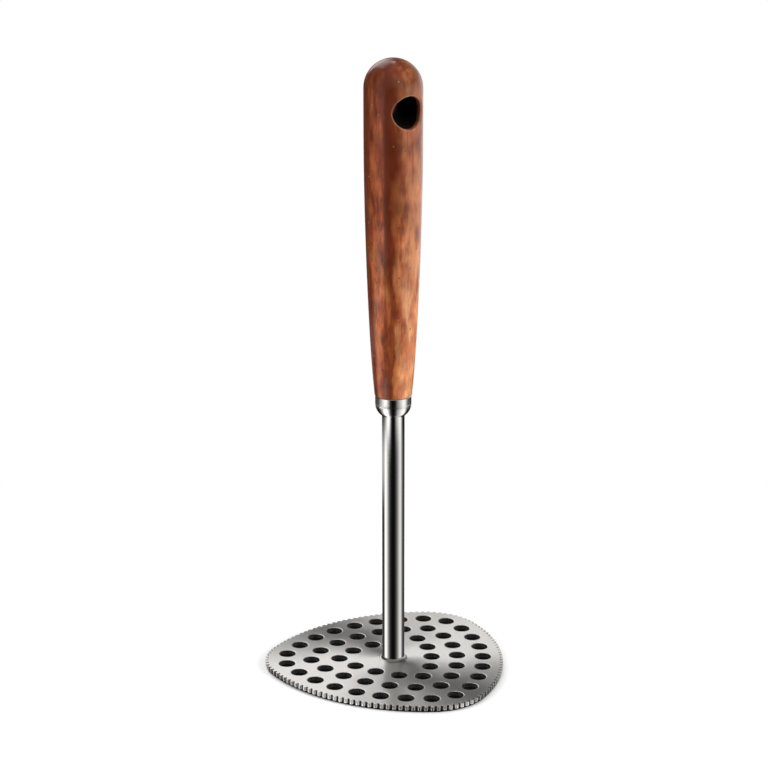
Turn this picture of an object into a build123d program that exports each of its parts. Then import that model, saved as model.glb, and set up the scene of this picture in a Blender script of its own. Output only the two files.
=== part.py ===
# Potato masher: a toothed, perforated plate on a polished shank, with a turned wooden handle.
#
# Frame: millimetres, +Z up towards the handle. The origin lies on the plate's flat underside, on the
# shank's axis. The hanging hole is bored along Y, and one corner of the plate points close to -Y.
import os
from math import cos, radians, sin

from build123d import *

# Mashing plate: the overlap of three discs, with its three corners rounded
plate_thickness = 2.0
plate_side_reach = 49.5
plate_side_radius = 79.5
plate_corner_radius = 26.5
corner_count = 3
front_corner_angle = -93.4

# Toothed rim, cut inwards from the plate's outline
tooth_pitch = 2.8
tooth_depth = 1.2
tooth_tip_share = 0.35
tooth_root_share = 0.25

# Rows of holes, each a step further in from the outline
hole_diameter = 7.3
hole_pitch = 11.25
outer_row_inset = 8.9
row_spacing = 11.6
row_start_shares = (0.5, 0.15, 0.05)
lead_corner = 2

# Shank: a tube that stands on the plate, closed at its top by a tapped plug
shank_diameter = 10.0
shank_wall = 1.0
shank_visible_length = 115.6
weld_leg = 1.3
plug_length = 14.0

# Ferrule: a turned cup with a socket below its web and a recess above it
ferrule_height = 9.0
ferrule_radius = 7.95
ferrule_straight_height = 3.8
ferrule_lip = 0.35
ferrule_rim_wall = 0.9
ferrule_rim_round = 0.25
socket_depth = 3.2
socket_clearance = 0.05
web_thickness = 1.6

# Stud that ties the tube, the ferrule and the handle together, and what it screws into
stud_diameter = 6.0
stud_web_clearance = 0.2
stud_end_chamfer = 0.6
stud_below_web = 12.0
stud_above_web = 26.0
insert_diameter = 9.2
insert_length = 16.0
insert_chamfer = 0.5
glue_clearance = 0.4
glue_over_stud = 4.0

# Handle: spigot, rounded shoulder, slim neck, swell and domed end
handle_length = 148.0
handle_grip_radius = 12.65
handle_shoulder_radius = 8.2
handle_shoulder_round = 0.5
spigot_clearance = 0.1
spigot_end_gap = 0.2
neck_radius = 10.4
neck_rise_share = 0.135
swell_start_share = 0.507
swell_end_share = 0.777
hanging_hole_diameter = 14.0
hanging_hole_below_top = 21.6
hanging_hole_round = 0.8

# Heights that follow from the sizes above
shank_radius = shank_diameter / 2
shank_bore_radius = shank_radius - shank_wall
stud_radius = stud_diameter / 2
ferrule_bottom = plate_thickness + shank_visible_length
ferrule_rim = ferrule_bottom + ferrule_height
web_bottom = ferrule_bottom + socket_depth
web_top = web_bottom + web_thickness
recess_radius = ferrule_radius - ferrule_rim_wall
spigot_radius = recess_radius - spigot_clearance
spigot_end = web_top + spigot_end_gap
insert_top = spigot_end + insert_length
stud_bottom = web_bottom - stud_below_web
stud_top = web_bottom + stud_above_web
glue_radius = stud_radius + glue_clearance
glue_top = stud_top + glue_over_stud
handle_top = ferrule_rim + handle_length
neck_height = ferrule_rim + handle_length * neck_rise_share
swell_start_height = ferrule_rim + handle_length * swell_start_share
swell_end_height = ferrule_rim + handle_length * swell_end_share
dome_centre = handle_top - handle_grip_radius
hanging_hole_height = handle_top - hanging_hole_below_top
plate_disc_offset = plate_side_radius - plate_side_reach


# Outline of the plate, or the same outline drawn in by an inset
def plate_outline(inset):
    with BuildSketch() as outline:
        for side in range(corner_count):
            disc_angle = front_corner_angle + 360 * side / corner_count
            disc_centre = (
                plate_disc_offset * cos(radians(disc_angle)),
                plate_disc_offset * sin(radians(disc_angle)),
            )
            disc_mode = Mode.INTERSECT if side else Mode.ADD
            with Locations(disc_centre):
                Circle(plate_side_radius - inset, mode=disc_mode)
        if inset < plate_corner_radius:
            fillet(outline.vertices(), plate_corner_radius - inset)
    return outline.sketch.face().outer_wire()


# Places along an outline, in even steps counterclockwise from the lead corner
def stepper(wire, count):
    lead_angle = radians(front_corner_angle + 360 * lead_corner / corner_count)
    beyond_corner = Vertex(Vector(cos(lead_angle), sin(lead_angle)) * plate_side_radius)
    corner_place = wire.param_at_point(wire.closest_points(beyond_corner)[0])
    onward = wire.tangent_at(corner_place).dot(Vector(-sin(lead_angle), cos(lead_angle)))
    step = (1 if onward > 0 else -1) / count
    return lambda steps: (corner_place + steps * step) % 1


# Points of the toothed rim: a narrow flat tip on the outline, then a notch cut in square to it
def toothed_rim():
    wire = plate_outline(0)
    tooth_count = round(wire.length / tooth_pitch)
    place_at = stepper(wire, tooth_count)
    points = []
    for tooth in range(tooth_count):
        for share, depth in (
            (-tooth_tip_share / 2, 0),
            (tooth_tip_share / 2, 0),
            ((1 - tooth_root_share) / 2, tooth_depth),
            ((1 + tooth_root_share) / 2, tooth_depth),
        ):
            place = place_at(tooth + share)
            point = wire.position_at(place)
            outward = wire.tangent_at(place).cross(Vector(0, 0, 1))
            if outward.dot(point) < 0:
                outward = -outward
            points.append(point - outward * depth)
    return points


# Centres of the holes: three rows that follow the outline at nearly the same step
def hole_centres():
    centres = []
    for row, start_share in enumerate(row_start_shares):
        wire = plate_outline(outer_row_inset + row * row_spacing)
        hole_count = round(wire.length / hole_pitch)
        place_at = stepper(wire, hole_count)
        centres += [wire.position_at(place_at(hole + start_share)) for hole in range(hole_count)]
    return centres


# Mashing plate
rim_points = toothed_rim()
hole_points = hole_centres()
with BuildPart() as mashing_plate:
    with BuildSketch(Plane.XY):
        with BuildLine():
            Polyline(*rim_points, close=True)
        make_face()
        with Locations(*hole_points):
            Circle(hole_diameter / 2, mode=Mode.SUBTRACT)
    extrude(amount=plate_thickness)
print("holes in the plate:", len(hole_points), "rim points:", len(rim_points))

# Weld bead round the shank's foot, hollow in section
with BuildPart() as foot_weld:
    with BuildSketch(Plane.XZ):
        with BuildLine():
            heel = (shank_radius, plate_thickness)
            toe = (shank_radius + weld_leg, plate_thickness)
            head = (shank_radius, plate_thickness + weld_leg)
            Line(heel, toe)
            RadiusArc(toe, head, weld_leg)
            Line(head, heel)
        make_face()
    revolve(axis=Axis.Z)

# Shank tube, from the plate up into the ferrule's socket
with BuildPart() as shank_tube:
    with BuildSketch(Plane.XY.offset(plate_thickness)):
        Circle(shank_radius)
        Circle(shank_bore_radius, mode=Mode.SUBTRACT)
    extrude(amount=web_bottom - plate_thickness)

# Tapped plug, flush with the tube's top
with BuildPart() as shank_plug:
    with BuildSketch(Plane.XY.offset(web_bottom - plug_length)):
        Circle(shank_bore_radius)
        Circle(stud_radius, mode=Mode.SUBTRACT)
    extrude(amount=plug_length)

# Ferrule: outside turned from the rim down to a thin lip round the shank
with BuildPart() as ferrule:
    with BuildSketch(Plane.XZ):
        with BuildLine():
            lip = (shank_radius + ferrule_lip, ferrule_bottom)
            knee = (ferrule_radius, ferrule_rim - ferrule_straight_height)
            rim = (ferrule_radius, ferrule_rim)
            Line((0, ferrule_bottom), lip)
            TangentArc(knee, lip, tangent=(0, -1))
            Line(knee, rim)
            Line(rim, (0, ferrule_rim))
            Line((0, ferrule_rim), (0, ferrule_bottom))
        make_face()
    revolve(axis=Axis.Z)
    fillet(ferrule.edges().group_by(Axis.Z)[-1], ferrule_rim_round)
    with BuildSketch(Plane.XY.offset(ferrule_bottom)):
        Circle(shank_radius + socket_clearance)
    extrude(amount=socket_depth, mode=Mode.SUBTRACT)
    with BuildSketch(Plane.XY.offset(web_bottom)):
        Circle(stud_radius + stud_web_clearance)
    extrude(amount=web_thickness, mode=Mode.SUBTRACT)
    with BuildSketch(Plane.XY.offset(web_top)):
        Circle(recess_radius)
    extrude(amount=ferrule_rim - web_top, mode=Mode.SUBTRACT)

# Tie stud
with BuildPart() as tie_stud:
    with BuildSketch(Plane.XY.offset(stud_bottom)):
        Circle(stud_radius)
    extrude(amount=stud_top - stud_bottom)
    chamfer(tie_stud.edges().filter_by(GeomType.CIRCLE), stud_end_chamfer)

# Threaded insert in the mouth of the handle's bore
with BuildPart() as threaded_insert:
    with BuildSketch(Plane.XY.offset(spigot_end)):
        Circle(insert_diameter / 2)
        Circle(stud_radius, mode=Mode.SUBTRACT)
    extrude(amount=insert_length)
    mouth_edges = threaded_insert.edges().group_by(Axis.Z)[0]
    chamfer(mouth_edges.sort_by(SortBy.RADIUS)[-1], insert_chamfer)

# Epoxy round the stud above the insert and over its end
with BuildPart() as stud_epoxy:
    with BuildSketch(Plane.XY.offset(insert_top)):
        Circle(glue_radius)
    extrude(amount=glue_top - insert_top)
    add(tie_stud.part, mode=Mode.SUBTRACT)

# Handle
with BuildPart() as handle:
    with BuildSketch(Plane.XZ):
        with BuildLine():
            shoulder_inner = (handle_shoulder_radius - handle_shoulder_round, ferrule_rim)
            shoulder_outer = (handle_shoulder_radius, ferrule_rim + handle_shoulder_round)
            swell_end = (handle_grip_radius, swell_end_height)
            dome_start = (handle_grip_radius, dome_centre)
            dome_top = (0, handle_top)
            Line((0, spigot_end), (spigot_radius, spigot_end))
            Line((spigot_radius, spigot_end), (spigot_radius, ferrule_rim))
            Line((spigot_radius, ferrule_rim), shoulder_inner)
            TangentArc(shoulder_inner, shoulder_outer, tangent=(1, 0))
            Bezier(
                shoulder_outer,
                (neck_radius, neck_height),
                (handle_grip_radius, swell_start_height),
                swell_end,
            )
            Line(swell_end, dome_start)
            TangentArc(dome_start, dome_top, tangent=(0, 1))
            Line(dome_top, (0, spigot_end))
        make_face()
    revolve(axis=Axis.Z)
    with BuildSketch(Plane.XY.offset(spigot_end)):
        Circle(insert_diameter / 2)
    extrude(amount=insert_length, mode=Mode.SUBTRACT)
    with BuildSketch(Plane.XY.offset(insert_top)):
        Circle(glue_radius)
    extrude(amount=glue_top - insert_top, mode=Mode.SUBTRACT)
    before_hole = handle.edges()
    with BuildSketch(Plane.XZ):
        with Locations((0, hanging_hole_height)):
            Circle(hanging_hole_diameter / 2)
    extrude(amount=handle_grip_radius, both=True, mode=Mode.SUBTRACT)
    fillet(handle.edges() - before_hole, hanging_hole_round)

# Every piece goes to its own file
pieces = {
    "mashing_plate": mashing_plate,
    "foot_weld": foot_weld,
    "shank_tube": shank_tube,
    "shank_plug": shank_plug,
    "ferrule": ferrule,
    "tie_stud": tie_stud,
    "threaded_insert": threaded_insert,
    "stud_epoxy": stud_epoxy,
    "handle": handle,
}
os.makedirs("parts", exist_ok=True)
for piece_name, piece in pieces.items():
    piece.part.label = piece_name
    export_step(piece.part, f"parts/{piece_name}.step")
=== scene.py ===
# %% [markdown]
# # A potato masher with a wooden handle
#
# The masher is a flat steel plate with a toothed rim and 55 holes, a polished steel shank, a
# small turned cup called a ferrule, and a lacquered hardwood handle. Its sizes were settled in a
# CAD model. This script loads that model as a fixed frame, dresses each piece, and sets up the
# studio. Everything here is in metres, in the model's own frame: +Z runs up the shank, and the
# plate's flat underside lies on the floor at z = 0.

# %% Load the frame
from math import cos, pi, radians, sin

import bmesh
import bpy
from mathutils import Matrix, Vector


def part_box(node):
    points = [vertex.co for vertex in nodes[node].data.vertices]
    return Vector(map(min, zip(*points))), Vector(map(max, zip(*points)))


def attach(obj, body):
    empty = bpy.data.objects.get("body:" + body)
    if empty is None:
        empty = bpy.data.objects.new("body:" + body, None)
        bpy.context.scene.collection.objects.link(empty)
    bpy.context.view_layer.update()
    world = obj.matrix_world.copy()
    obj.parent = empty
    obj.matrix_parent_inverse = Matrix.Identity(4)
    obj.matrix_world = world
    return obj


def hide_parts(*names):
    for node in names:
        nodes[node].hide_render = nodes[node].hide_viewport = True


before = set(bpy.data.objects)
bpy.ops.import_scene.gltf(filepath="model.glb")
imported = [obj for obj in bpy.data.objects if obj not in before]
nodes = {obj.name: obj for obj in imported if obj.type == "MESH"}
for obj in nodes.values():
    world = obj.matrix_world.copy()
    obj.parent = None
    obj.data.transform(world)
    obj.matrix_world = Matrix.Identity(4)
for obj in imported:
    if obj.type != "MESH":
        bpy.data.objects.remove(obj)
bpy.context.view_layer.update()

mm = 0.001

# %% [markdown]
# ## Heights, read from the frame
#
# A dressed piece has to sit exactly on what carries it. So no height is typed again here: each
# one is read from the box of the CAD piece that owns it.

# %% Read the heights
plate_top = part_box("mashing_plate")[1].z
shank_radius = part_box("shank_tube")[1].x
ferrule_low, ferrule_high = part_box("ferrule")
handle_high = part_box("handle")[1]
heights = (plate_top, ferrule_low.z, ferrule_high.z, handle_high.z)
print("plate top, ferrule, rim, handle top, mm:", [round(height / mm, 1) for height in heights])

# %% [markdown]
# ## Camera
#
# The photograph looks down on the plate at about 24 degrees, yet the shank stays upright and
# nearly as wide at the bottom as at the top. A camera about a metre away, tipped down by 17
# degrees, gives both. It stands 35 degrees round from the front, where the hanging hole looks the
# way it does in the photograph. A shift of a few pixels puts the shank's axis in its place.

# %% Place the camera
picture_side = 768
axis_pixel_x = 393.3
focal_pixels = 2416
camera_azimuth = radians(-35)
camera_distance = 1.0069
camera_height = 0.4448
camera_pitch = radians(17.286)

camera_side = Vector((sin(camera_azimuth), -cos(camera_azimuth), 0))
right_side = Vector((cos(camera_azimuth), sin(camera_azimuth), 0))

camera = bpy.data.objects.new("camera", bpy.data.cameras.new("camera"))
bpy.context.scene.collection.objects.link(camera)
bpy.context.scene.camera = camera
camera.location = camera_side * camera_distance + Vector((0, 0, camera_height))
camera.rotation_euler = (pi / 2 - camera_pitch, 0, camera_azimuth)
camera.data.sensor_width = 36
camera.data.lens = focal_pixels / picture_side * camera.data.sensor_width
camera.data.shift_x = (picture_side / 2 - axis_pixel_x) / picture_side
print("lens, mm:", round(camera.data.lens, 1), "shift:", round(camera.data.shift_x, 4))


# %% [markdown]
# ## Wiring nodes from code
#
# Materials and Geometry Nodes are both trees of nodes. A few small helpers keep them readable.
# `wire` puts a value or another node's output into a socket, `grow` adds a node with its settings
# and its inputs in one call, and the others are short names for the nodes used most. `spread`
# maps one range of values onto another. Where the range is called an edge, something starts to
# show at its first value and shows in full at its second.

# %% Helpers for every node tree
def wire(tree, socket, value):
    if isinstance(value, bpy.types.NodeSocket):
        tree.links.new(value, socket)
    else:
        socket.default_value = value


def grow(tree, kind, inputs=None, **settings):
    node = tree.nodes.new(kind)
    for name, value in settings.items():
        setattr(node, name, value)
    for key, value in (inputs or {}).items():
        wire(tree, node.inputs[key], value)
    return node


def sums(tree, operation, *values):
    return grow(tree, "ShaderNodeMath", dict(enumerate(values)), operation=operation).outputs[0]


def product(tree, value, *factors):
    for factor in factors:
        value = sums(tree, "MULTIPLY", value, factor)
    return value


def vectors(tree, operation, *values):
    node = grow(tree, "ShaderNodeVectorMath", dict(enumerate(values)), operation=operation)
    return node.outputs["Value" if operation in ("DOT_PRODUCT", "LENGTH") else "Vector"]


def scaled(tree, vector, factor):
    node = grow(tree, "ShaderNodeVectorMath", {0: vector, "Scale": factor}, operation="SCALE")
    return node.outputs[0]


def from_parts(tree, x, y, z=0):
    return grow(tree, "ShaderNodeCombineXYZ", {"X": x, "Y": y, "Z": z}).outputs[0]


def turned(tree, vector, angle):
    inputs = {"Vector": vector, "Angle": angle}
    return grow(tree, "ShaderNodeVectorRotate", inputs, rotation_type="Z_AXIS").outputs[0]


def spread(tree, value, old_low, old_high, new_low=0.0, new_high=1.0, kind="SMOOTHSTEP"):
    ends = {"From Min": old_low, "From Max": old_high, "To Min": new_low, "To Max": new_high}
    node = grow(tree, "ShaderNodeMapRange", {"Value": value, **ends}, interpolation_type=kind)
    return node.outputs["Result"]


print("helpers: wire, grow, sums, product, vectors, scaled, from_parts, turned, spread")


# %% Helpers for colours
def grey(level):
    return (level, level, level, 1)


def mixed(tree, share, first, second, how="MIX"):
    node = grow(tree, "ShaderNodeMix", data_type="RGBA", blend_type=how)
    for key, value in ((0, share), (6, first), (7, second)):
        wire(tree, node.inputs[key], value)
    return node.outputs[2]


def ramp(tree, value, stops):
    node = grow(tree, "ShaderNodeValToRGB", {"Fac": value})
    elements = node.color_ramp.elements
    while len(elements) < len(stops):
        elements.new(1)
    for element, (place, colour) in zip(elements, stops):
        element.position = place
        element.color = colour
    return node.outputs["Color"]


print("helpers: grey, mixed, ramp")

# %% [markdown]
# ## Studio
#
# Polished steel has no look of its own: it shows the room. In the photograph the ferrule has a
# black middle with a white band on each side of it, and the shank below has the same bands with
# softer edges. So a tall softbox stands on the left and one on the right, and all is dark round
# the camera and behind both shoulders. The handle, the ferrule and the shank look down into the
# room at different slopes, so each has its own list of levels, read from the bands in the
# photograph. The upper half of the shank has a paler left edge than the lower half. The world's
# shader holds this room by direction, and the camera itself sees plain white.

# %% Room brightness by compass direction, in degrees from the camera, right hand positive
handle_levels = (
    (-180, 0.1), (-112, 0.06), (-102, 0.1), (-88, 0.2), (-72, 0.45), (-58, 0.7), (-42, 0.8),
    (-34, 0.6), (-28, 0.2), (-18, 0.05), (-8, 0.01), (6, 0.01), (16, 0.06), (28, 0.4), (41, 0.72),
    (54, 1.05), (68, 1.35), (100, 1.3), (125, 1.5), (150, 1.5), (168, 1.0), (180, 0.5),
)
ferrule_levels = (
    (-180, 0.1), (-118, 0.01), (-106, 0.04), (-88, 0.2), (-72, 0.9), (-58, 1.9), (-45, 2.1),
    (-32, 0.9), (-20, 0.07), (-8, 0.002), (5, 0.002), (16, 0.05), (28, 0.45), (41, 0.85),
    (54, 1.2), (68, 1.55), (83, 1.2), (98, 0.2), (112, 0.01), (155, 0.02), (180, 0.3),
)
shank_levels = (
    (-180, 0.3), (-155, 0.06), (-112, 0.05), (-103, 0.5), (-94, 1.5), (-76, 1.5), (-66, 0.95),
    (-54, 0.46), (-43, 0.15), (-32, 0.04), (-20, 0.012), (0, 0.004), (10, 0.006), (20, 0.03),
    (30, 0.09), (41, 0.24), (52, 0.5), (64, 0.86), (78, 1.15), (90, 0.7), (106, 0.16), (118, 0.06),
    (155, 0.06), (180, 0.3),
)
paler_left = ((-180, 0.3), (-155, 0.6), (-112, 0.6), (-103, 0.8))
high_shank_levels = paler_left + shank_levels[len(paler_left):]
print("levels round the compass:", len(handle_levels), len(ferrule_levels), len(shank_levels))

# %% [markdown]
# The world's shader gets a direction, and works out two numbers from it: the compass angle and
# the rise. Low down, under the ferrule's curved cup, the compass angles would all run together
# into a star straight below. So for steep directions the angle is taken from the surface that
# mirrors them towards the camera, and the bands run straight down the cup.

# %% Directions in the room
look_level = 0.94
steep_edge = (-0.42, -0.50)

world = bpy.data.worlds.new("studio")
bpy.context.scene.world = world
world.use_nodes = True
room = world.node_tree
room.nodes.clear()
gaze = grow(room, "ShaderNodeTexCoord").outputs["Generated"]
towards_camera = vectors(room, "DOT_PRODUCT", gaze, camera_side)
towards_right = vectors(room, "DOT_PRODUCT", gaze, right_side)
rise = grow(room, "ShaderNodeSeparateXYZ", {0: gaze}).outputs["Z"]
compass = sums(room, "ARCTAN2", towards_right, towards_camera)
facing = sums(room, "ARCTAN2", towards_right, sums(room, "ADD", towards_camera, look_level))
turn_gap = sums(room, "SUBTRACT", product(room, facing, 2), compass)
steep = spread(room, rise, *steep_edge)
column = sums(room, "MULTIPLY_ADD", turn_gap, steep, compass)
compass_share = sums(room, "MULTIPLY_ADD", column, 1 / (2 * pi), 0.5)
print("room: angle and rise from", len(room.nodes), "nodes")


# %% The walls of the room
handle_edge = (-0.290, -0.270)
high_shank_edge = (-0.348, -0.330)
shank_rise, shank_edge = -0.375, (0.068, 0.050)
far_low_edge, far_low_level = (-0.25, -0.50), 0.01


def room_band(levels):
    return ramp(room, compass_share, [(turn / 360 + 0.5, grey(level)) for turn, level in levels])


high_share = spread(room, rise, *high_shank_edge)
shank_walls = mixed(room, high_share, room_band(shank_levels), room_band(high_shank_levels))
shank_gap = sums(room, "ABSOLUTE", sums(room, "SUBTRACT", rise, shank_rise))
shank_share = spread(room, shank_gap, *shank_edge)
walls = mixed(room, shank_share, room_band(ferrule_levels), shank_walls)
walls = mixed(room, spread(room, rise, *handle_edge), walls, room_band(handle_levels))
far_low_share = product(room, steep, spread(room, towards_camera, *far_low_edge))
walls = mixed(room, far_low_share, walls, grey(far_low_level))
print("walls: handle, ferrule and shank bands")

# %% [markdown]
# The brushed plate lies flat, so it shows what is overhead and behind. There is light on the left
# and a dark flag on the right, with a dim light below it, and that draws the plate's bright and
# dark wedges. A narrow strip light between them makes the highlight on the handle's dome.

# %% Lights overhead and behind
behind_edge = (-0.20, -0.55)
flag_turn, flag_level = radians(-1), 0.02
left_edge, far_left_edge, left_level = (0.10, -0.28), (-0.62, -0.45), 2.8
right_edge, right_rise_edge, right_level = (0.20, 0.34), (0.66, 0.56), 0.5
strip_edge, strip_rise_edge, strip_level = (0.11, 0.05), (0.70, 0.80), 5.0

level_ahead = sums(room, "COSINE", compass)
behind = spread(room, level_ahead, *behind_edge)
towards_flag = sums(room, "SINE", sums(room, "ADD", compass, flag_turn))
left_share = product(room, spread(room, towards_flag, *left_edge), behind,
                     spread(room, towards_right, *far_left_edge))
overhead = mixed(room, left_share, grey(flag_level), grey(left_level))
right_share = product(room, behind, spread(room, rise, *right_rise_edge),
                      spread(room, towards_right, *right_edge))
overhead = mixed(room, right_share, overhead, grey(right_level))
from_middle = sums(room, "ABSOLUTE", towards_right)
strip_share = product(room, behind, spread(room, rise, *strip_rise_edge),
                      spread(room, from_middle, *strip_edge))
overhead = mixed(room, strip_share, overhead, grey(strip_level))
print("levels overhead:", left_level, "left,", right_level, "right,", strip_level, "strip")

# %% The rest of the ceiling, and the world's output
ahead_edge, ahead_level = (0.0, 0.4), 0.5
zenith_edge, zenith_level = (0.80, 0.95), 0.3
ceiling_edge = (0.05, 0.30)

overhead = mixed(room, spread(room, level_ahead, *ahead_edge), overhead, grey(ahead_level))
overhead = mixed(room, spread(room, rise, *zenith_edge), overhead, grey(zenith_level))
room_colour = mixed(room, spread(room, rise, *ceiling_edge), walls, overhead)

straight_look = grow(room, "ShaderNodeLightPath").outputs["Is Camera Ray"]
seen_colour = mixed(room, straight_look, room_colour, grey(1))
background = grow(room, "ShaderNodeBackground", {"Color": seen_colour, "Strength": 1})
grow(room, "ShaderNodeOutputWorld", {"Surface": background.outputs[0]})
print("room:", len(room.nodes), "nodes")


# %% [markdown]
# ## Lamps
#
# The room's reflections light the steel, and wide lamps light the wood: a key lamp from the
# right, a weaker one from the left, and a soft one from above that evens out the floor. All are
# sun lamps, so the floor is lit evenly out to the horizon, and all are kept out of reflections,
# because the room already draws the softboxes.

# %% Lamps
def lamp(name, turn, lift, strength, width):
    light = bpy.data.lights.new(name, "SUN")
    light.energy = strength
    light.angle = radians(width)
    made = bpy.data.objects.new(name, light)
    bpy.context.scene.collection.objects.link(made)
    across = camera_side * cos(radians(turn)) + right_side * sin(radians(turn))
    source = across * cos(radians(lift)) + Vector((0, 0, sin(radians(lift))))
    made.rotation_euler = source.to_track_quat("Z", "Y").to_euler()
    made.visible_glossy = False
    return made


key_lamp = lamp("key_lamp", turn=62, lift=24, strength=2.2, width=30)
fill_lamp = lamp("fill_lamp", turn=-66, lift=24, strength=1.5, width=30)
top_lamp = lamp("top_lamp", turn=180, lift=80, strength=0.6, width=60)
print("lamps:", key_lamp.name, fill_lamp.name, top_lamp.name)


# %% [markdown]
# ## Finishes
#
# Every finish reads Object coordinates. A dressed piece keeps its place in its mesh, so these are
# metres in the shared frame, and a pattern has its real size on every piece. Each finish starts
# with `new_finish`, which gives an empty material and the place in millimetres. A noise seldom
# leaves the range from 0.3 to 0.7, so that range is what `spread` maps onto a roughness.

# %% Start a finish
def new_finish(name):
    material = bpy.data.materials.new(name)
    material.use_nodes = True
    tree = material.node_tree
    tree.nodes.clear()
    place = scaled(tree, grow(tree, "ShaderNodeTexCoord").outputs["Object"], 1 / mm)
    return material, tree, place


def surface(tree, settings, normal=None):
    shader = grow(tree, "ShaderNodeBsdfPrincipled", settings)
    if normal is not None:
        wire(tree, shader.inputs["Normal"], normal)
    grow(tree, "ShaderNodeOutputMaterial", {"Surface": shader.outputs[0]})


def noise(tree, place, stretch, detail=3, roughness=0.5):
    vector = vectors(tree, "MULTIPLY", place, stretch)
    inputs = {"Vector": vector, "Scale": 1, "Detail": detail, "Roughness": roughness}
    return grow(tree, "ShaderNodeTexNoise", inputs).outputs["Fac"]


def bump(tree, height, depth):
    inputs = {"Height": height, "Distance": depth, "Strength": 1}
    return grow(tree, "ShaderNodeBump", inputs).outputs[0]


noise_range = (0.3, 0.7)
print("finish helpers: new_finish, surface, noise, bump")

# %% [markdown]
# ## Lacquered hardwood
#
# The handle is turned from one piece of reddish hardwood and dipped in clear lacquer. Its figure
# comes from the tree's year rings, which run the length of the handle as bands, wander a little
# and break up into mottled streaks. So the bands are noise along one direction across the board,
# bent by slower noise, and the mottling is a second noise stretched along the grain.

# %% Wood: the run of the figure
handle_top = handle_high.z / mm
grip_radius = handle_high.x / mm
hole_radius = 7.0
hole_below_top = 21.6
sway_reach, ripple_reach = 12, 8

wood_finish, tree, place = new_finish("lacquered_hardwood")
board_turn = {"Vector": place, "Rotation": (0, 0, -camera_azimuth)}
board = grow(tree, "ShaderNodeMapping", board_turn).outputs[0]
sway = noise(tree, board, (0.05, 0.05, 0.018), detail=2)
ripple = noise(tree, board, (0.16, 0.16, 0.07), detail=2)
drift = sums(tree, "MULTIPLY_ADD", sums(tree, "SUBTRACT", sway, 0.5), sway_reach,
             product(tree, sums(tree, "SUBTRACT", ripple, 0.5), ripple_reach))
board_parts = grow(tree, "ShaderNodeSeparateXYZ", {0: board}).outputs
layer = sums(tree, "ADD", board_parts["X"], drift)
ring_inputs = {"W": layer, "Scale": 0.22, "Detail": 3, "Roughness": 0.55}
rings = grow(tree, "ShaderNodeTexNoise", ring_inputs, noise_dimensions="1D").outputs["Fac"]
mottle = noise(tree, board, (0.27, 0.27, 0.065), detail=4, roughness=0.6)
fibres = noise(tree, board, (2.2, 2.2, 0.16), detail=3, roughness=0.6)
print("wood: rings, mottle and fibres")

# %% [markdown]
# The colours were read from the photograph: a dark heart left of the middle, which is partly the
# wood's own streak and partly painted shade between the side lamps, warm brown on the left, and a
# paler tan on the right, which is painted light from the key lamp. Rosy patches drift through it.
# The left edge is darkened with painted shade, and so is the dome's top on its left side. The
# whole gets darker and redder towards the top. Soft clouds of light and dark break it up.

# %% Wood: figure, rosy patches and painted light on the right side
mottle_share = 1.15
rosy_edge, rosy_strength, rosy_wood = (0.50, 0.68), 0.6, (0.33, 0.062, 0.030, 1)
taper_heights, taper_radii = (128, 200), (8.3, 12.6)
right_light_edge, right_light_strength = (0.05, 0.75), 0.6

figure = sums(tree, "MULTIPLY_ADD", sums(tree, "SUBTRACT", mottle, 0.5), mottle_share, rings)
wood_colour = ramp(tree, figure, [
    (0.28, (0.17, 0.036, 0.013, 1)), (0.42, (0.31, 0.070, 0.022, 1)),
    (0.54, (0.46, 0.125, 0.043, 1)), (0.70, (0.56, 0.21, 0.088, 1))])
patches = noise(tree, board, (0.10, 0.10, 0.04), detail=2)
rosy_share = spread(tree, patches, *rosy_edge, 0, rosy_strength)
wood_colour = mixed(tree, rosy_share, wood_colour, rosy_wood)
handle_radius = spread(tree, board_parts["Z"], *taper_heights, *taper_radii, "LINEAR")
edge_share = sums(tree, "DIVIDE", board_parts["X"], handle_radius)
# Painted light: towards its right edge the wood turns paler and tan, where the key lamp falls.
streak = spread(tree, mottle, 0.32, 0.68)
lit_right_wood = mixed(tree, streak, (0.42, 0.135, 0.055, 1), (0.64, 0.31, 0.16, 1))
right_light_share = spread(tree, edge_share, *right_light_edge, 0, right_light_strength)
wood_colour = mixed(tree, right_light_share, wood_colour, lit_right_wood)
print("wood: radius, mm:", *taper_radii, "at heights", *taper_heights)

# %% Wood: fibres, tone by height, and clouds
toned_length = (130, 275)

fibre_tone = ramp(tree, fibres, [(0.3, grey(0.80)), (0.5, grey(1.0)), (0.7, grey(1.12))])
height_share = spread(tree, board_parts["Z"], *toned_length, kind="LINEAR")
height_tone = ramp(tree, height_share, [
    (0.03, (1.21, 1.38, 1.42, 1)), (0.20, (1.21, 1.41, 1.52, 1)), (0.30, (1.05, 1.19, 1.31, 1)),
    (0.39, (0.98, 1.04, 1.09, 1)), (0.47, (0.81, 0.80, 0.76, 1)), (0.57, (0.74, 0.68, 0.61, 1)),
    (0.74, (0.62, 0.56, 0.52, 1)), (0.85, (0.57, 0.54, 0.51, 1)), (0.96, (0.46, 0.44, 0.41, 1))])
cloud_tone = ramp(tree, noise(tree, board, (0.13, 0.13, 0.11), detail=2), [
    (0.34, (0.74, 0.68, 0.60, 1)), (0.66, (1.28, 1.18, 1.06, 1))])
for tone in (fibre_tone, height_tone, cloud_tone):
    wood_colour = mixed(tree, 1.0, wood_colour, tone, "MULTIPLY")
print("wood: toned from", *toned_length, "mm up")

# %% Wood: dark heart with painted shade, painted shade on the left edge and the dome
heart_shade_left_edge, heart_shade_right_edge = (-4.6, -3.4), (5.0, 0.0)
heart_shade_heights, heart_shade_strengths = (130, 260), (0.42, 0.88)
left_edge_shade_edge, left_edge_shade_strength = (-0.66, -0.95), 0.85
dome_shade_edge, dome_shade_side, dome_shade_strength = (254, 268), (7, -2), 0.6
shade_and_heart_tone = (0.10, 0.017, 0.005, 1)

# The dark heart is partly the wood's own streak and partly painted shade between the side lamps.
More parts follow.
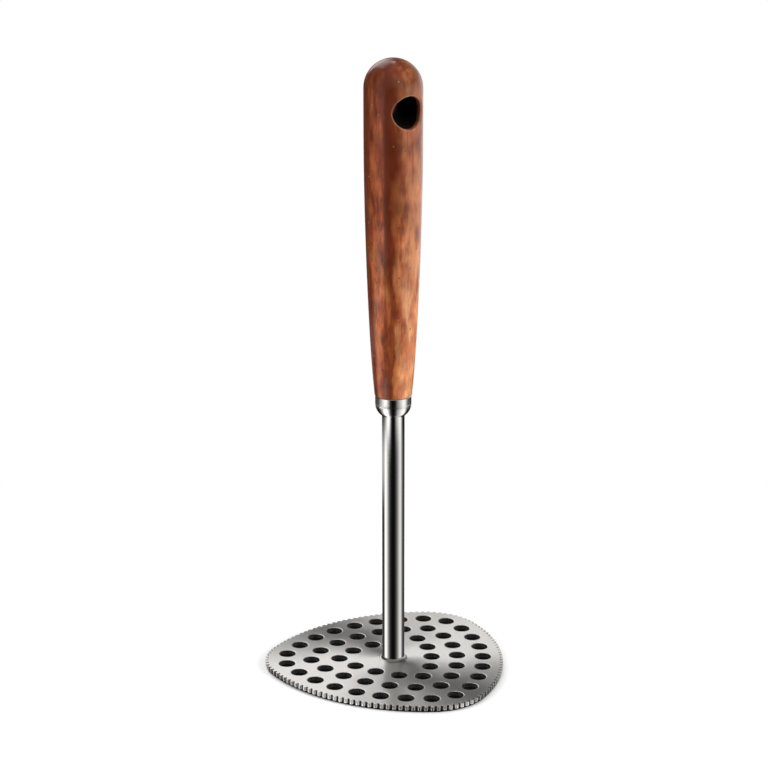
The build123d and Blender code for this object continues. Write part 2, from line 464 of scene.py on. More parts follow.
heart_and_shade = product(tree, spread(tree, board_parts["X"], *heart_shade_left_edge),
                spread(tree, layer, *heart_shade_right_edge),
                spread(tree, board_parts["Z"], *heart_shade_heights, *heart_shade_strengths))
# Painted shade darkens the wood along its left edge.
left_edge_shade = spread(tree, edge_share, *left_edge_shade_edge, 0, left_edge_shade_strength)
# Painted shade darkens the top of the dome, most on its left side.
dome_shade = product(tree, spread(tree, board_parts["Z"], *dome_shade_edge, 0, dome_shade_strength),
                    spread(tree, board_parts["X"], *dome_shade_side))
shade_and_dark_share = sums(tree, "MAXIMUM", heart_and_shade, sums(tree, "MAXIMUM", left_edge_shade, dome_shade))
wood_colour = mixed(tree, shade_and_dark_share, wood_colour, shade_and_heart_tone)
print("wood: colour from", len(tree.nodes), "nodes")


# %% [markdown]
# Small dark pores and a few light flecks are scattered over the wood. Both are cells of a Voronoi
# pattern. Each cell has a random colour, and only the cells with a low red value get a spot.

# %% Wood: pores and flecks
full_part = 0.4


def flecks(stretch, size, share):
    vector = vectors(tree, "MULTIPLY", board, stretch)
    cells = grow(tree, "ShaderNodeTexVoronoi", {"Vector": vector, "Scale": 1})
    red = grow(tree, "ShaderNodeSeparateXYZ", {0: cells.outputs["Color"]}).outputs[0]
    chosen = sums(tree, "LESS_THAN", red, share)
    spot = spread(tree, cells.outputs["Distance"], size, size * full_part)
    return product(tree, chosen, spot)


pores = flecks(stretch=(0.42, 0.42, 0.32), size=0.2, share=0.13)
wood_colour = mixed(tree, product(tree, pores, 0.75), wood_colour, (0.05, 0.012, 0.006, 1))
sparks = flecks(stretch=(0.47, 0.47, 0.40), size=0.2, share=0.07)
wood_colour = mixed(tree, product(tree, sparks, 0.4), wood_colour, (0.75, 0.36, 0.18, 1))
print("wood: pores and flecks")

# %% [markdown]
# Lacquer is a clear coat, so the shader's coat makes the highlights, and the wood under it stays
# dull. The bore of the hanging hole is nearly black in the photograph, and here it gets painted
# shade, which starts a little way in from the mouth. The rounded lip gets a pale painted
# highlight.
# Two distances keep all this inside the hole: one from the hole's axis, and one from the handle's
# axis.

# %% Wood: lacquer, and a painted highlight on the lip of the hanging hole
lip_radius, lip_highlight_edge = hole_radius + 0.4, (0.5, 0.1)
lip_highlight_strength, lip_highlight_wood = 0.25, (0.62, 0.34, 0.22, 1)

from_hole = vectors(tree, "SUBTRACT", place, (0, 0, handle_top - hole_below_top))
hole_reach = vectors(tree, "LENGTH", vectors(tree, "MULTIPLY", from_hole, (1, 0, 1)))
lip_gap = sums(tree, "ABSOLUTE", sums(tree, "SUBTRACT", hole_reach, lip_radius))
# A pale painted highlight on the rounded lip of the hanging hole.
lip_highlight_share = spread(tree, lip_gap, *lip_highlight_edge, 0, lip_highlight_strength)
wood_colour = mixed(tree, lip_highlight_share, wood_colour, lip_highlight_wood)
pore_bump = bump(tree, sums(tree, "SUBTRACT", fibres, pores), depth=0.02 * mm)
wood_roughness = spread(tree, fibres, *noise_range, 0.42, 0.55)
lacquer = grow(tree, "ShaderNodeBsdfPrincipled", {
    "Base Color": wood_colour, "Roughness": wood_roughness, "Normal": pore_bump,
    "Specular IOR Level": 0.1, "Coat Weight": 0.5, "Coat Roughness": 0.07, "Coat IOR": 1.5})
print("wood: lacquer over", len(tree.nodes), "nodes")

# %% Wood: painted shade in the bore
shade_wander, shade_depth_edge = 0.8, (1.9, 3.3)
bore_shade_edge = (hole_radius + 0.4, hole_radius + 0.2)

from_axis = vectors(tree, "LENGTH", vectors(tree, "MULTIPLY", place, (1, 1, 0)))
depth = sums(tree, "SUBTRACT", grip_radius, from_axis)
shade_depth = sums(tree, "MULTIPLY_ADD", noise(tree, place, (0.5, 0.5, 0.5)), shade_wander, depth)
# Painted shade: the bore turns nearly black, starting a little way in from the mouth.
bore_shade_share = product(tree, spread(tree, shade_depth, *shade_depth_edge), spread(tree, hole_reach, *bore_shade_edge))
bore_shade = grow(tree, "ShaderNodeBsdfPrincipled", {
    "Base Color": (0.006, 0.003, 0.002, 1), "Roughness": 0.9, "Specular IOR Level": 0.05,
    "Normal": pore_bump})
both = grow(tree, "ShaderNodeMixShader", {0: bore_shade_share, 1: lacquer.outputs[0], 2: bore_shade.outputs[0]})
grow(tree, "ShaderNodeOutputMaterial", {"Surface": both.outputs[0]})
print("finish:", wood_finish.name, len(tree.nodes), "nodes")

# %% [markdown]
# ## Brushed steel
#
# The plate's top is brushed in circles round the shank. Such lines blur a reflection across
# themselves, and this is what draws light and dark wedges that meet at the shank. In the shader
# it is anisotropy, with its tangent pointing out from the middle. Half way out the brush swirls a
# little, so the wedges bend, and the tangent is turned there. Faint lines and smears make it look
# like used steel.

# %% Satin steel, brushed in circles round the shank
swirl_start, swirl_end, swirl_turn = (10, 21), (40, 27), radians(12)

plate_finish, tree, place = new_finish("satin_steel")
level_place = vectors(tree, "MULTIPLY", place, (1, 1, 0))
radius = vectors(tree, "LENGTH", level_place)
swirl = product(tree, spread(tree, radius, *swirl_start), spread(tree, radius, *swirl_end))
outwards = turned(tree, vectors(tree, "NORMALIZE", level_place), product(tree, swirl, swirl_turn))
wander = noise(tree, place, (0.12, 0.12, 0.12), detail=2)
line_inputs = {"W": sums(tree, "ADD", radius, wander), "Scale": 9, "Detail": 2}
lines = grow(tree, "ShaderNodeTexNoise", line_inputs, noise_dimensions="1D").outputs["Fac"]
smears = noise(tree, place, (0.06, 0.06, 0.06), detail=4, roughness=0.6)
satin_tone = mixed(tree, smears, (0.58, 0.565, 0.55, 1), (0.70, 0.68, 0.655, 1))
satin_roughness = spread(tree, smears, *noise_range, 0.42, 0.47)
satin_settings = {"Base Color": satin_tone, "Metallic": 1, "Roughness": satin_roughness}
satin_settings |= {"Anisotropic": 0.93, "Tangent": outwards}
surface(tree, satin_settings, bump(tree, lines, depth=0.002 * mm))
print("finish:", plate_finish.name, len(tree.nodes), "nodes")

# %% [markdown]
# ## Cut edges
#
# The teeth and the holes are punched, so their edges are brighter than the face. Deep between the
# teeth and down in the holes little light arrives, so painted shade goes there. The plate's mesh
# carries a number called recess, from 0 to 1, and this finish turns dark by it as painted shade,
# and rough.

# %% Cut edges
recess_shade_tone, recess_roughness = grey(0.003), 0.7

cut_edge_finish, tree, place = new_finish("cut_edge_steel")
edge_marks = noise(tree, place, (4, 4, 0.6), detail=3)
edge_tone = mixed(tree, edge_marks, (0.66, 0.64, 0.62, 1), (0.80, 0.78, 0.75, 1))
recess = grow(tree, "ShaderNodeAttribute", attribute_name="recess").outputs["Fac"]
# Painted shade: deep in the recesses the steel turns nearly black.
shade_and_dark_share = product(tree, recess, spread(tree, edge_marks, 0.2, 0.8, 0.9, 1.0))
edge_tone = mixed(tree, shade_and_dark_share, edge_tone, recess_shade_tone)
edge_roughness = spread(tree, edge_marks, *noise_range, 0.16, 0.3)
recess_share = product(tree, recess, recess_roughness)
edge_roughness = sums(tree, "MAXIMUM", edge_roughness, recess_share)
edge_settings = {"Base Color": edge_tone, "Metallic": 1, "Roughness": edge_roughness}
surface(tree, edge_settings, bump(tree, edge_marks, depth=0.01 * mm))
print("finish:", cut_edge_finish.name, len(tree.nodes), "nodes")


# %% [markdown]
# ## Polished steel
#
# The shank is a polished tube and mirrors the room nearly sharply. The ferrule is buffed while it
# spins in the lathe, and that leaves fine rings that blur its reflection up and down only, so its
# tangent points up. The wheel reaches the curved cup less well than the straight rim above it, so
# the cup has a little more haze. Faint polishing marks and the dulling from hands belong to both.

# %% Polished steel
straight_rim = 3.8
knee_height = ferrule_high.z / mm - straight_rim
haze_edge = (knee_height + 0.7, knee_height + 0.1)
handling_haze = 0.03


def polished_steel(name, low, high, anisotropy=0.0, cup_haze=0.0):
    finish, tree, place = new_finish(name)
    polish_marks = noise(tree, place, (0.5, 0.5, 6), detail=3)
    handling = noise(tree, place, (0.07, 0.07, 0.04), detail=3)
    roughness = spread(tree, polish_marks, *noise_range, low, high)
    roughness = sums(tree, "MULTIPLY_ADD", handling, handling_haze, roughness)
    height = grow(tree, "ShaderNodeSeparateXYZ", {0: place}).outputs["Z"]
    roughness = sums(tree, "ADD", roughness, spread(tree, height, *haze_edge, 0, cup_haze))
    tone = mixed(tree, handling, (0.66, 0.64, 0.62, 1), (0.72, 0.70, 0.685, 1))
    settings = {"Base Color": tone, "Metallic": 1, "Roughness": roughness}
    settings |= {"Anisotropic": anisotropy, "Tangent": from_parts(tree, 0, 0, 1)}
    surface(tree, settings, bump(tree, polish_marks, depth=0.0006 * mm))
    return finish


shank_finish = polished_steel("mirror_steel", 0.02, 0.04)
ferrule_finish = polished_steel("buffed_steel", 0.05, 0.07, anisotropy=0.85, cup_haze=0.08)
print("finishes:", shank_finish.name, ferrule_finish.name)

# %% [markdown]
# ## Weld
#
# The weld round the shank's foot was ground and polished, and it is a little duller than the steel
# beside it. Its tone is darker than the steel's as well: that is painted shade at the shank's
# foot.
# The photograph shows it as a small flare that runs softly into the plate. One noise is enough for
# such a finish: it drives the tone, the roughness and a little bump.

# %% A finish from one noise, and the weld
def grained(name, stretch, detail, dark, light, roughness, depth, metallic=1):
    finish, tree, place = new_finish(name)
    grain = noise(tree, place, stretch, detail=detail)
    tone = mixed(tree, grain, (*dark, 1), (*light, 1))
    roughness = spread(tree, grain, *noise_range, *roughness)
    settings = {"Base Color": tone, "Metallic": metallic, "Roughness": roughness}
    surface(tree, settings, bump(tree, grain, depth * mm))
    return finish


# The bead's dark tone is painted shade at the shank's foot.
weld_finish = grained(
    "dressed_weld", stretch=(1.2, 1.2, 1.2), detail=4,
    dark=(0.30, 0.285, 0.27), light=(0.46, 0.44, 0.42), roughness=(0.30, 0.42), depth=0.004)
print("finish:", weld_finish.name)

# %% [markdown]
# ## Finishes of the hidden pieces
#
# Four pieces can't be seen from outside: the steel plug in the tube's top, the stud that holds
# tube, ferrule and handle together, the brass insert in the handle, and the epoxy that locks the
# stud. They get turned steel, brass and amber epoxy, so that a cut through the masher shows them
# rightly.

# %% The pieces inside: turned steel, brass and epoxy
turned_finish = grained(
    "turned_steel", stretch=(0.4, 0.4, 5), detail=3,
    dark=(0.42, 0.41, 0.40), light=(0.58, 0.57, 0.55), roughness=(0.25, 0.4), depth=0.01)
brass_finish = grained(
    "insert_brass_finish", stretch=(0.8, 0.8, 0.8), detail=4,
    dark=(0.62, 0.40, 0.13), light=(0.80, 0.58, 0.24), roughness=(0.22, 0.38), depth=0.01)
epoxy_finish = grained(
    "cured_epoxy", stretch=(0.7, 0.7, 0.7), detail=3, metallic=0,
    dark=(0.34, 0.22, 0.09), light=(0.50, 0.36, 0.18), roughness=(0.15, 0.3), depth=0.04)
print("finishes:", turned_finish.name, brass_finish.name, epoxy_finish.name)

# %% [markdown]
# The pieces whose CAD shape is already right are kept as they are. Each of them only gets its
# finish, in the slot that the CAD export made for it.

# %% Dress the kept pieces
for name, finish in {
    "shank_tube": shank_finish, "ferrule": ferrule_finish, "handle": wood_finish,
    "shank_plug": turned_finish, "tie_stud": turned_finish, "threaded_insert": brass_finish,
    "stud_epoxy": epoxy_finish,
}.items():
    nodes[name].material_slots[0].material = finish
print("materials in the file:", len(bpy.data.materials))

# %% [markdown]
# ## The plate's outline as a rule
#
# The plate is a rounded triangle: three long arcs and three short ones, each flowing into the
# next. An outline drawn further in has the same centres and smaller radii, so one rule gives the
# rim and all three rows of holes. A node group holds that rule. It takes a share of the way
# round, starting at the front corner, and gives the place there and the direction that points
# outwards.

# %% Helpers for Geometry Nodes
def new_tree(name, sizes, finishes=(), outputs=None):
    tree = bpy.data.node_groups.new(name, "GeometryNodeTree")
    inputs = {size: "Float" for size in sizes} | {finish: "Material" for finish in finishes}
    outputs = outputs or {"Geometry": "Geometry"}
    for side, sockets in (("INPUT", inputs), ("OUTPUT", outputs)):
        for label, kind in sockets.items():
            tree.interface.new_socket(label, in_out=side, socket_type="NodeSocket" + kind)
    return tree, grow(tree, "NodeGroupInput").outputs


def choose(tree, condition, when_false, when_true, kind="FLOAT"):
    node = grow(tree, "GeometryNodeSwitch", input_type=kind)
    for label, value in (("Switch", condition), ("False", when_false), ("True", when_true)):
        wire(tree, node.inputs[label], value)
    return node.outputs[0]


def pointing(tree, angle):
    return from_parts(tree, sums(tree, "COSINE", angle), sums(tree, "SINE", angle))


print("helpers: new_tree, choose, pointing")

# %% The outline rule
outline_sizes = ("Side reach", "Side radius", "Corner radius", "Front corner angle")
outline_rule, given = new_tree(
    "plate_outline", ("Share", "Inset", *outline_sizes),
    outputs={"Place": "Vector", "Outward": "Vector", "Length": "Float"})
rule = outline_rule
third_turn = 2 * pi / 3
offset = sums(rule, "SUBTRACT", given["Side radius"], given["Side reach"])
side = sums(rule, "SUBTRACT", given["Side radius"], given["Inset"])
corner = sums(rule, "MAXIMUM", sums(rule, "SUBTRACT", given["Corner radius"], given["Inset"]), 0)
gap = sums(rule, "SUBTRACT", side, corner)
half_sine = sums(rule, "DIVIDE", product(rule, offset, sin(third_turn)), gap)
half_turn = sums(rule, "ARCSINE", half_sine)
half_corner = product(rule, half_turn, corner)
half_side = product(rule, sums(rule, "SUBTRACT", third_turn / 2, half_turn), side)
third_length = product(rule, sums(rule, "ADD", half_corner, half_side), 2)
print("the outline is 3 times a corner arc and a side arc")

# %% The place on the outline
thirds = product(rule, given["Share"], 3)
nearest_corner = sums(rule, "ROUND", thirds)
along = product(rule, sums(rule, "SUBTRACT", thirds, nearest_corner), third_length)
beyond = sums(rule, "SUBTRACT", sums(rule, "ABSOLUTE", along), half_corner)
on_side = sums(rule, "GREATER_THAN", beyond, 0)
hand = sums(rule, "SIGN", along)
side_turn = sums(rule, "ADD", half_turn, sums(rule, "DIVIDE", beyond, side))
side_turn = product(rule, hand, side_turn)
turn = choose(rule, on_side, sums(rule, "DIVIDE", along, corner), side_turn)
corner_reach = sums(rule, "MULTIPLY_ADD", sums(rule, "COSINE", half_turn), gap,
                    product(rule, offset, cos(third_turn)))
side_centre = scaled(rule, pointing(rule, product(rule, hand, -third_turn)), offset)
centre = choose(rule, on_side, from_parts(rule, corner_reach, 0), side_centre, "VECTOR")
outward = pointing(rule, turn)
place = vectors(rule, "ADD", centre, scaled(rule, outward, choose(rule, on_side, corner, side)))
facing = sums(rule, "MULTIPLY_ADD", nearest_corner, third_turn, given["Front corner angle"])
grow(rule, "NodeGroupOutput", {
    "Place": turned(rule, place, facing),
    "Outward": turned(rule, outward, facing),
    "Length": product(rule, third_length, 3),
})
print("outline rule:", len(rule.nodes), "nodes")

# %% [markdown]
# ## The mashing plate
#
# The plate is blanked from 2 mm stainless sheet. Its rim is cut into 120 small teeth that grip
# the potatoes, and its 55 holes are punched out in three rows that follow the rim. Every edge is
# tumbled, so it has a tiny round that catches the light. A bevel modifier would struggle with so
# many small edges. Here Geometry Nodes lay strips of points and move each one by a rule: the rim
# is one long strip, and each hole is a short sleeve. The flat faces are filled between them. In
# the cells below, `t` is the tree that is being grown and `asked` holds its inputs.

# %% Sizes of the plate
plate_sizes = {
    "Thickness": plate_top,
    "Side reach": 49.5 * mm,
    "Side radius": 79.5 * mm,
    "Corner radius": 26.5 * mm,
    "Front corner angle": radians(-93.4),
    "Edge round": 0.28 * mm,
    "Tooth pitch": 2.8 * mm,
    "Tooth depth": 1.2 * mm,
    "Tooth tip share": 0.35,
    "Tooth root share": 0.25,
    "Hole radius": 3.65 * mm,
    "Hole pitch": 11.25 * mm,
    "Outer row inset": 8.9 * mm,
    "Row spacing": 11.6 * mm,
}
points_per_tooth = 14
edge_rows = 8
hole_segments = 36
row_start_shares = (0.5, 0.15, 0.05)
lead_corner_share = 2 / 3
rim_recess_edge, hole_recess_edge = (0.82, 0.58), (0.9, 0.6)

plate_tree, asked = new_tree("mashing_plate_tree", plate_sizes, ("Finish", "Edge finish"))
t = plate_tree
print("plate:", len(plate_sizes), "sizes")


# %% Strips of points, and how to move them
merge_distance = 0.001 * mm


def marked(tree, geometry, label, value):
    inputs = {"Geometry": geometry, "Name": label, "Value": value}
    kinds = {"data_type": "FLOAT", "domain": "POINT"}
    return grow(tree, "GeometryNodeStoreNamedAttribute", inputs, **kinds).outputs[0]


def strip(tree, columns, rows):
    sizes = {"Size X": 1, "Size Y": 1, "Vertices X": columns, "Vertices Y": rows}
    grid = grow(tree, "GeometryNodeMeshGrid", sizes).outputs["Mesh"]
    position = grow(tree, "GeometryNodeInputPosition").outputs[0]
    spot = grow(tree, "ShaderNodeSeparateXYZ", {0: position}).outputs
    return grid, sums(tree, "ADD", spot["X"], 0.5), sums(tree, "ADD", spot["Y"], 0.5)


def placed(tree, geometry, position):
    inputs = {"Geometry": geometry, "Position": position}
    return grow(tree, "GeometryNodeSetPosition", inputs).outputs[0]


def lifted(tree, geometry, height):
    inputs = {"Geometry": geometry, "Translation": from_parts(tree, 0, 0, height)}
    return grow(tree, "GeometryNodeTransform", inputs).outputs[0]


def ring(tree, points, radius=1.0):
    sizes = {"Resolution": points, "Radius": radius}
    return grow(tree, "GeometryNodeCurvePrimitiveCircle", sizes).outputs[0]


def joined(tree, *parts):
    node = grow(tree, "GeometryNodeJoinGeometry")
    for part in parts:
        tree.links.new(part, node.inputs[0])
    return node.outputs[0]


def flipped(tree, geometry):
    return grow(tree, "GeometryNodeFlipFaces", {0: geometry}).outputs[0]


def merged(tree, geometry):
    inputs = {0: geometry, "Distance": merge_distance}
    return grow(tree, "GeometryNodeMergeByDistance", inputs).outputs[0]


def made_of(tree, geometry, finish):
    real = grow(tree, "GeometryNodeRealizeInstances", {0: geometry}).outputs[0]
    return grow(tree, "GeometryNodeSetMaterial", {0: real, "Material": finish}).outputs[0]


print("helpers: marked, strip, placed, lifted, ring, joined, flipped, merged, made_of")


# %% The outline and the rounded edge, inside the plate's tree
def outline_at(share, inset):
    sizes = {size: asked[size] for size in outline_sizes}
    group = grow(t, "GeometryNodeGroup", node_tree=outline_rule)
    for label, value in {"Share": share, "Inset": inset, **sizes}.items():
        wire(t, group.inputs[label], value)
    return group.outputs


def rounded_edge(share):
    turn = product(t, share, pi)
    inset = product(t, asked["Edge round"], sums(t, "SUBTRACT", 1, sums(t, "SINE", turn)))
    curl = product(t, asked["Edge round"], sums(t, "SUBTRACT", 1, sums(t, "COSINE", turn)))
    straight = sums(t, "MULTIPLY_ADD", asked["Edge round"], -2, asked["Thickness"])
    upper = sums(t, "GREATER_THAN", share, 0.5)
    return inset, sums(t, "MULTIPLY_ADD", straight, upper, curl)


print("edge round, mm:", plate_sizes["Edge round"] / mm)

# %% The toothed rim
rim_length = outline_at(0, 0)["Length"]
tooth_count = sums(t, "ROUND", sums(t, "DIVIDE", rim_length, asked["Tooth pitch"]))
rim_points = product(t, tooth_count, points_per_tooth)


def tooth_inset(share):
    phase = sums(t, "FRACT", product(t, share, tooth_count))
    from_root = sums(t, "ABSOLUTE", sums(t, "SUBTRACT", phase, 0.5))
    root_end = product(t, asked["Tooth root share"], 0.5)
    tip_start = sums(t, "MULTIPLY_ADD", asked["Tooth tip share"], -0.5, 0.5)
    return spread(t, from_root, root_end, tip_start, asked["Tooth depth"], 0)


def rim_place(share, edge_inset, height):
    there = outline_at(share, 0)
    inset = sums(t, "ADD", tooth_inset(share), edge_inset)
    flat = vectors(t, "SUBTRACT", there["Place"], scaled(t, there["Outward"], inset))
    return vectors(t, "ADD", flat, from_parts(t, 0, 0, height))


rim_strip, round_share, across_share = strip(t, sums(t, "ADD", rim_points, 1), edge_rows)
rim_recess = sums(t, "DIVIDE", tooth_inset(round_share), asked["Tooth depth"])
rim_recess = product(t, rim_recess, spread(t, across_share, *rim_recess_edge))
rim_strip = marked(t, rim_strip, "recess", rim_recess)
rim_wall = placed(t, rim_strip, rim_place(round_share, *rounded_edge(across_share)))
print("rim:", points_per_tooth, "points a tooth,", edge_rows, "rows of points")


# %% The rows of holes
def hole_row(row, start_share):
    inset = sums(t, "MULTIPLY_ADD", asked["Row spacing"], row, asked["Outer row inset"])
    row_length = outline_at(0, inset)["Length"]
    count = sums(t, "ROUND", sums(t, "DIVIDE", row_length, asked["Hole pitch"]))
    step = sums(t, "ADD", grow(t, "GeometryNodeInputIndex").outputs[0], start_share)
    share = sums(t, "ADD", sums(t, "DIVIDE", step, count), lead_corner_share)
    points = grow(t, "GeometryNodePoints", {"Count": count}).outputs[0]
    return placed(t, points, outline_at(share, inset)["Place"])


hole_centres = joined(t, *(hole_row(row, start) for row, start in enumerate(row_start_shares)))


def at_holes(shape):
    node = grow(t, "GeometryNodeInstanceOnPoints", {"Points": hole_centres, "Instance": shape})
    return grow(t, "GeometryNodeRealizeInstances", {0: node.outputs[0]}).outputs[0]


sleeve_strip, turn_share, across_share = strip(t, hole_segments + 1, edge_rows)
edge_inset, edge_height = rounded_edge(across_share)
sleeve_radius = sums(t, "ADD", asked["Hole radius"], edge_inset)
sleeve_strip = marked(t, sleeve_strip, "recess", spread(t, across_share, *hole_recess_edge))
sleeve_ring = scaled(t, pointing(t, product(t, turn_share, 2 * pi)), sleeve_radius)
sleeve = placed(t, sleeve_strip, vectors(t, "ADD", sleeve_ring, from_parts(t, 0, 0, edge_height)))
hole_walls = at_holes(flipped(t, sleeve))
print("holes:", len(row_start_shares), "rows")

# %% The flat faces, and everything joined
rim_share = sums(t, "DIVIDE", grow(t, "GeometryNodeInputIndex").outputs[0], rim_points)
rim_curve = placed(t, ring(t, rim_points), rim_place(rim_share, asked["Edge round"], 0))
mouth = ring(t, hole_segments, sums(t, "ADD", asked["Hole radius"], asked["Edge round"]))
outlines = joined(t, rim_curve, at_holes(mouth))
flat_face = grow(t, "GeometryNodeFillCurve", {0: outlines}).outputs[0]
upper_face = lifted(t, flat_face, asked["Thickness"])
walls = made_of(t, joined(t, rim_wall, hole_walls), asked["Edge finish"])
faces = made_of(t, joined(t, upper_face, flipped(t, flat_face)), asked["Finish"])
grow(t, "NodeGroupOutput", {0: merged(t, joined(t, walls, faces))})
print("plate tree:", len(t.nodes), "nodes")


# %% [markdown]
# ## From a tree to a plain piece
#
# A tree is live until it is evaluated. The export wants plain meshes, so the modifier's result is
# copied into a new mesh and the modifier is taken off. Its inputs are set by the sockets'
# identifiers before that first evaluation. The mesh is then shaded: smooth round its edges, and
# level on its flat faces, which keeps a satin plate from looking dented. One thing is left out on
# purpose: the plate isn't mirrored in the shank. In the photograph the shank keeps its bands
# right down to its foot.

# %% Make a plain piece from a tree
def grown_piece(name, tree, values):
    piece = bpy.data.objects.new(name, bpy.data.meshes.new(name + "_start"))
    bpy.context.scene.collection.objects.link(piece)
    modifier = piece.modifiers.new("tree", "NODES")
    modifier.node_group = tree
    items = tree.interface.items_tree
    sockets = {item.name: item.identifier for item in items if item.in_out == "INPUT"}
    for label, value in values.items():
        modifier[sockets[label]] = value
    depsgraph = bpy.context.evaluated_depsgraph_get()
    mesh = bpy.data.meshes.new_from_object(piece.evaluated_get(depsgraph))
    piece.modifiers.clear()
    piece.data = mesh
    mesh.name = name
    return piece


def shade(mesh, flat_direction=Vector((0, 0, 1)), flatness=0.99999):
    mesh.polygons.foreach_set("use_smooth", [True] * len(mesh.polygons))
    normals = [Vector() for _ in mesh.vertices]
    for face in mesh.polygons:
        flat = abs(face.normal.dot(flat_direction)) > flatness
        for corner in face.vertices:
            normals[corner] += face.normal * (1 if flat else face.area)
    mesh.normals_split_custom_set_from_vertices([normal.normalized() for normal in normals])


plate_finishes = {"Finish": plate_finish, "Edge finish": cut_edge_finish}
plate = grown_piece("toothed_plate", plate_tree, plate_sizes | plate_finishes)
shade(plate.data)
plate.visible_glossy = False
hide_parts("mashing_plate")
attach(plate, "root")
print("plate:", len(plate.data.vertices), "points,", len(plate.data.polygons), "faces")

# %% [markdown]
# ## The weld at the shank's foot
#
# The tube is welded to the plate all round, and the bead is dressed and polished into a small
# concave fillet. A faint trace of its ripples is left. The bead is a strip again: it goes once
# round the shank, and across it runs up the concave face, down inside against the tube and back
# out.

# %% The weld bead
weld_sizes = {
    "Shank radius": shank_radius,
    "Leg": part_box("foot_weld")[1].x - shank_radius,
    "Foot": plate_top,
    "Ripple depth": 0.06 * mm,
    "Ripple count": 34.0,
}
bead_columns = 205
face_rows = 10
all_rows = face_rows + 2
ripple_sweep = 1.4

weld_tree, asked = new_tree("foot_weld_tree", weld_sizes, ("Finish",))
t = weld_tree
bead_strip, around_share, section_share = strip(t, bead_columns, all_rows + 1)
face_share = sums(t, "MINIMUM", product(t, section_share, all_rows / face_rows), 1)
lean = product(t, face_share, pi / 2)
ripple_turn = product(t, asked["Ripple count"], 2 * pi, around_share)
middle_share = sums(t, "SINE", product(t, lean, 2))
wave = sums(t, "COSINE", sums(t, "ADD", ripple_turn, product(t, middle_share, ripple_sweep)))
ripple = product(t, sums(t, "MULTIPLY_ADD", wave, 0.5, 0.5), middle_share)
hollow = sums(t, "SUBTRACT", asked["Leg"], product(t, ripple, asked["Ripple depth"]))
toe_radius = sums(t, "ADD", asked["Shank radius"], asked["Leg"])
face_radius = sums(t, "SUBTRACT", toe_radius, product(t, hollow, sums(t, "SINE", lean)))
face_height = sums(t, "SUBTRACT", sums(t, "ADD", asked["Foot"], asked["Leg"]),
                   product(t, hollow, sums(t, "COSINE", lean)))
on_back = sums(t, "GREATER_THAN", section_share, (face_rows + 0.5) / all_rows)
at_start = sums(t, "GREATER_THAN", section_share, (face_rows + 1.5) / all_rows)
back_radius = sums(t, "MULTIPLY_ADD", asked["Leg"], at_start, asked["Shank radius"])
bead_radius = choose(t, on_back, face_radius, back_radius)
bead_height = choose(t, on_back, face_height, asked["Foot"])
bead_ring = scaled(t, pointing(t, product(t, around_share, 2 * pi)), bead_radius)
bead = placed(t, bead_strip, vectors(t, "ADD", bead_ring, from_parts(t, 0, 0, bead_height)))
grow(t, "NodeGroupOutput", {0: made_of(t, merged(t, bead), asked["Finish"])})

weld = grown_piece("weld_bead", weld_tree, weld_sizes | {"Finish": weld_finish})
shade(weld.data)
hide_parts("foot_weld")
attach(weld, "root")
print("weld:", len(weld.data.vertices), "points")

# %% [markdown]
# ## A shade card under the plate
#
# The photograph shows the holes of the plate quite black, although the ground round it is white.
# So a near-black card lies under the plate. It is painted shade: it darkens the holes and the gaps
# between the teeth, where the shade under the plate shows. It is cut by the same outline rule, a
# hair smaller than the plate, and it belongs to the studio, not to the masher.

# %% Shade card: painted shade under the plate
floor_gap = 0.4 * mm
shade_card_inset = 0.3 * mm
shade_card_points = 240

shade_card_tree, asked = new_tree("shade_card_tree", ("Inset", "Height", *outline_sizes), ("Finish",))
t = shade_card_tree
shade_card_share = sums(t, "DIVIDE", grow(t, "GeometryNodeInputIndex").outputs[0], shade_card_points)
shade_card_outline = placed(t, ring(t, shade_card_points), outline_at(shade_card_share, asked["Inset"])["Place"])
shade_card_sheet = grow(t, "GeometryNodeFillCurve", {0: shade_card_outline}).outputs[0]
shade_card_sheet = lifted(t, shade_card_sheet, asked["Height"])
grow(t, "NodeGroupOutput", {0: made_of(t, shade_card_sheet, asked["Finish"])})
print("felt tree:", len(t.nodes), "nodes")

shade_card_finish, tree, place = new_finish("shade_card_finish")
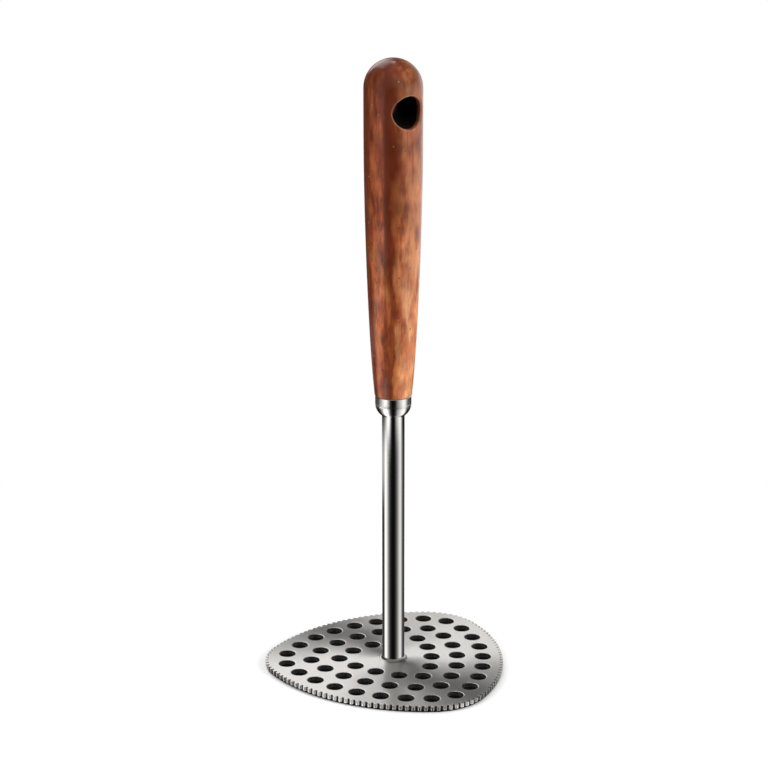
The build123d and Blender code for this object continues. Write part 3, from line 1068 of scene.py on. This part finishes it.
# The card's near-black colour is painted shade under the plate.
shade_card_tone = ramp(tree, noise(tree, place, (3, 3, 3)), [(0.3, grey(0.002)), (0.7, grey(0.006))])
surface(tree, {"Base Color": shade_card_tone, "Roughness": 0.95, "Specular IOR Level": 0.05})
shade_card_values = {"Inset": shade_card_inset, "Height": -floor_gap, "Finish": shade_card_finish}
shade_card_values |= {size: plate_sizes[size] for size in outline_sizes}
shade_card = grown_piece("shade_card", shade_card_tree, shade_card_values)
shade_card.visible_glossy = False
print("felt card:", len(shade_card.data.vertices), "points")

# %% [markdown]
# ## Floor
#
# The floor is pale and plain. It shows the masher's soft shadow near it, and turns into the white
# of the backdrop further off. It lies a little under the shade card. Only the camera sees it,
# because the light that the masher gets from below is already in the room's levels.

# %% Floor
def plane_at(name, radius, height, corners):
    sheet = bmesh.new()
    bmesh.ops.create_circle(sheet, cap_ends=True, radius=radius, segments=corners)
    bmesh.ops.translate(sheet, verts=sheet.verts, vec=(0, 0, height))
    mesh = bpy.data.meshes.new(name)
    sheet.to_mesh(mesh)
    sheet.free()
    made = bpy.data.objects.new(name, mesh)
    bpy.context.scene.collection.objects.link(made)
    return made


floor = plane_at("floor", radius=20, height=-2 * floor_gap, corners=96)
floor.visible_glossy = False
floor.visible_diffuse = False
floor.visible_transmission = False
floor.visible_shadow = False

fade_edge = (100, 320)
floor_finish, tree, place = new_finish("floor_finish")
paper_grain = noise(tree, place, (0.9, 0.9, 0.9))
paper_colour = ramp(tree, paper_grain, [(0.3, grey(0.93)), (0.7, grey(0.96))])
paper = grow(tree, "ShaderNodeBsdfDiffuse", {"Color": paper_colour}).outputs[0]
backdrop_white = grow(tree, "ShaderNodeEmission", {"Color": grey(1), "Strength": 1}).outputs[0]
far_share = spread(tree, vectors(tree, "LENGTH", place), *fade_edge)
both = grow(tree, "ShaderNodeMixShader", {0: far_share, 1: paper, 2: backdrop_white})
grow(tree, "ShaderNodeOutputMaterial", {"Surface": both.outputs[0]})
floor.data.materials.append(floor_finish)
print("floor: fades to white between", *fade_edge, "mm")

# %% The view transform, and the end
bpy.context.scene.view_settings.view_transform = "Standard"
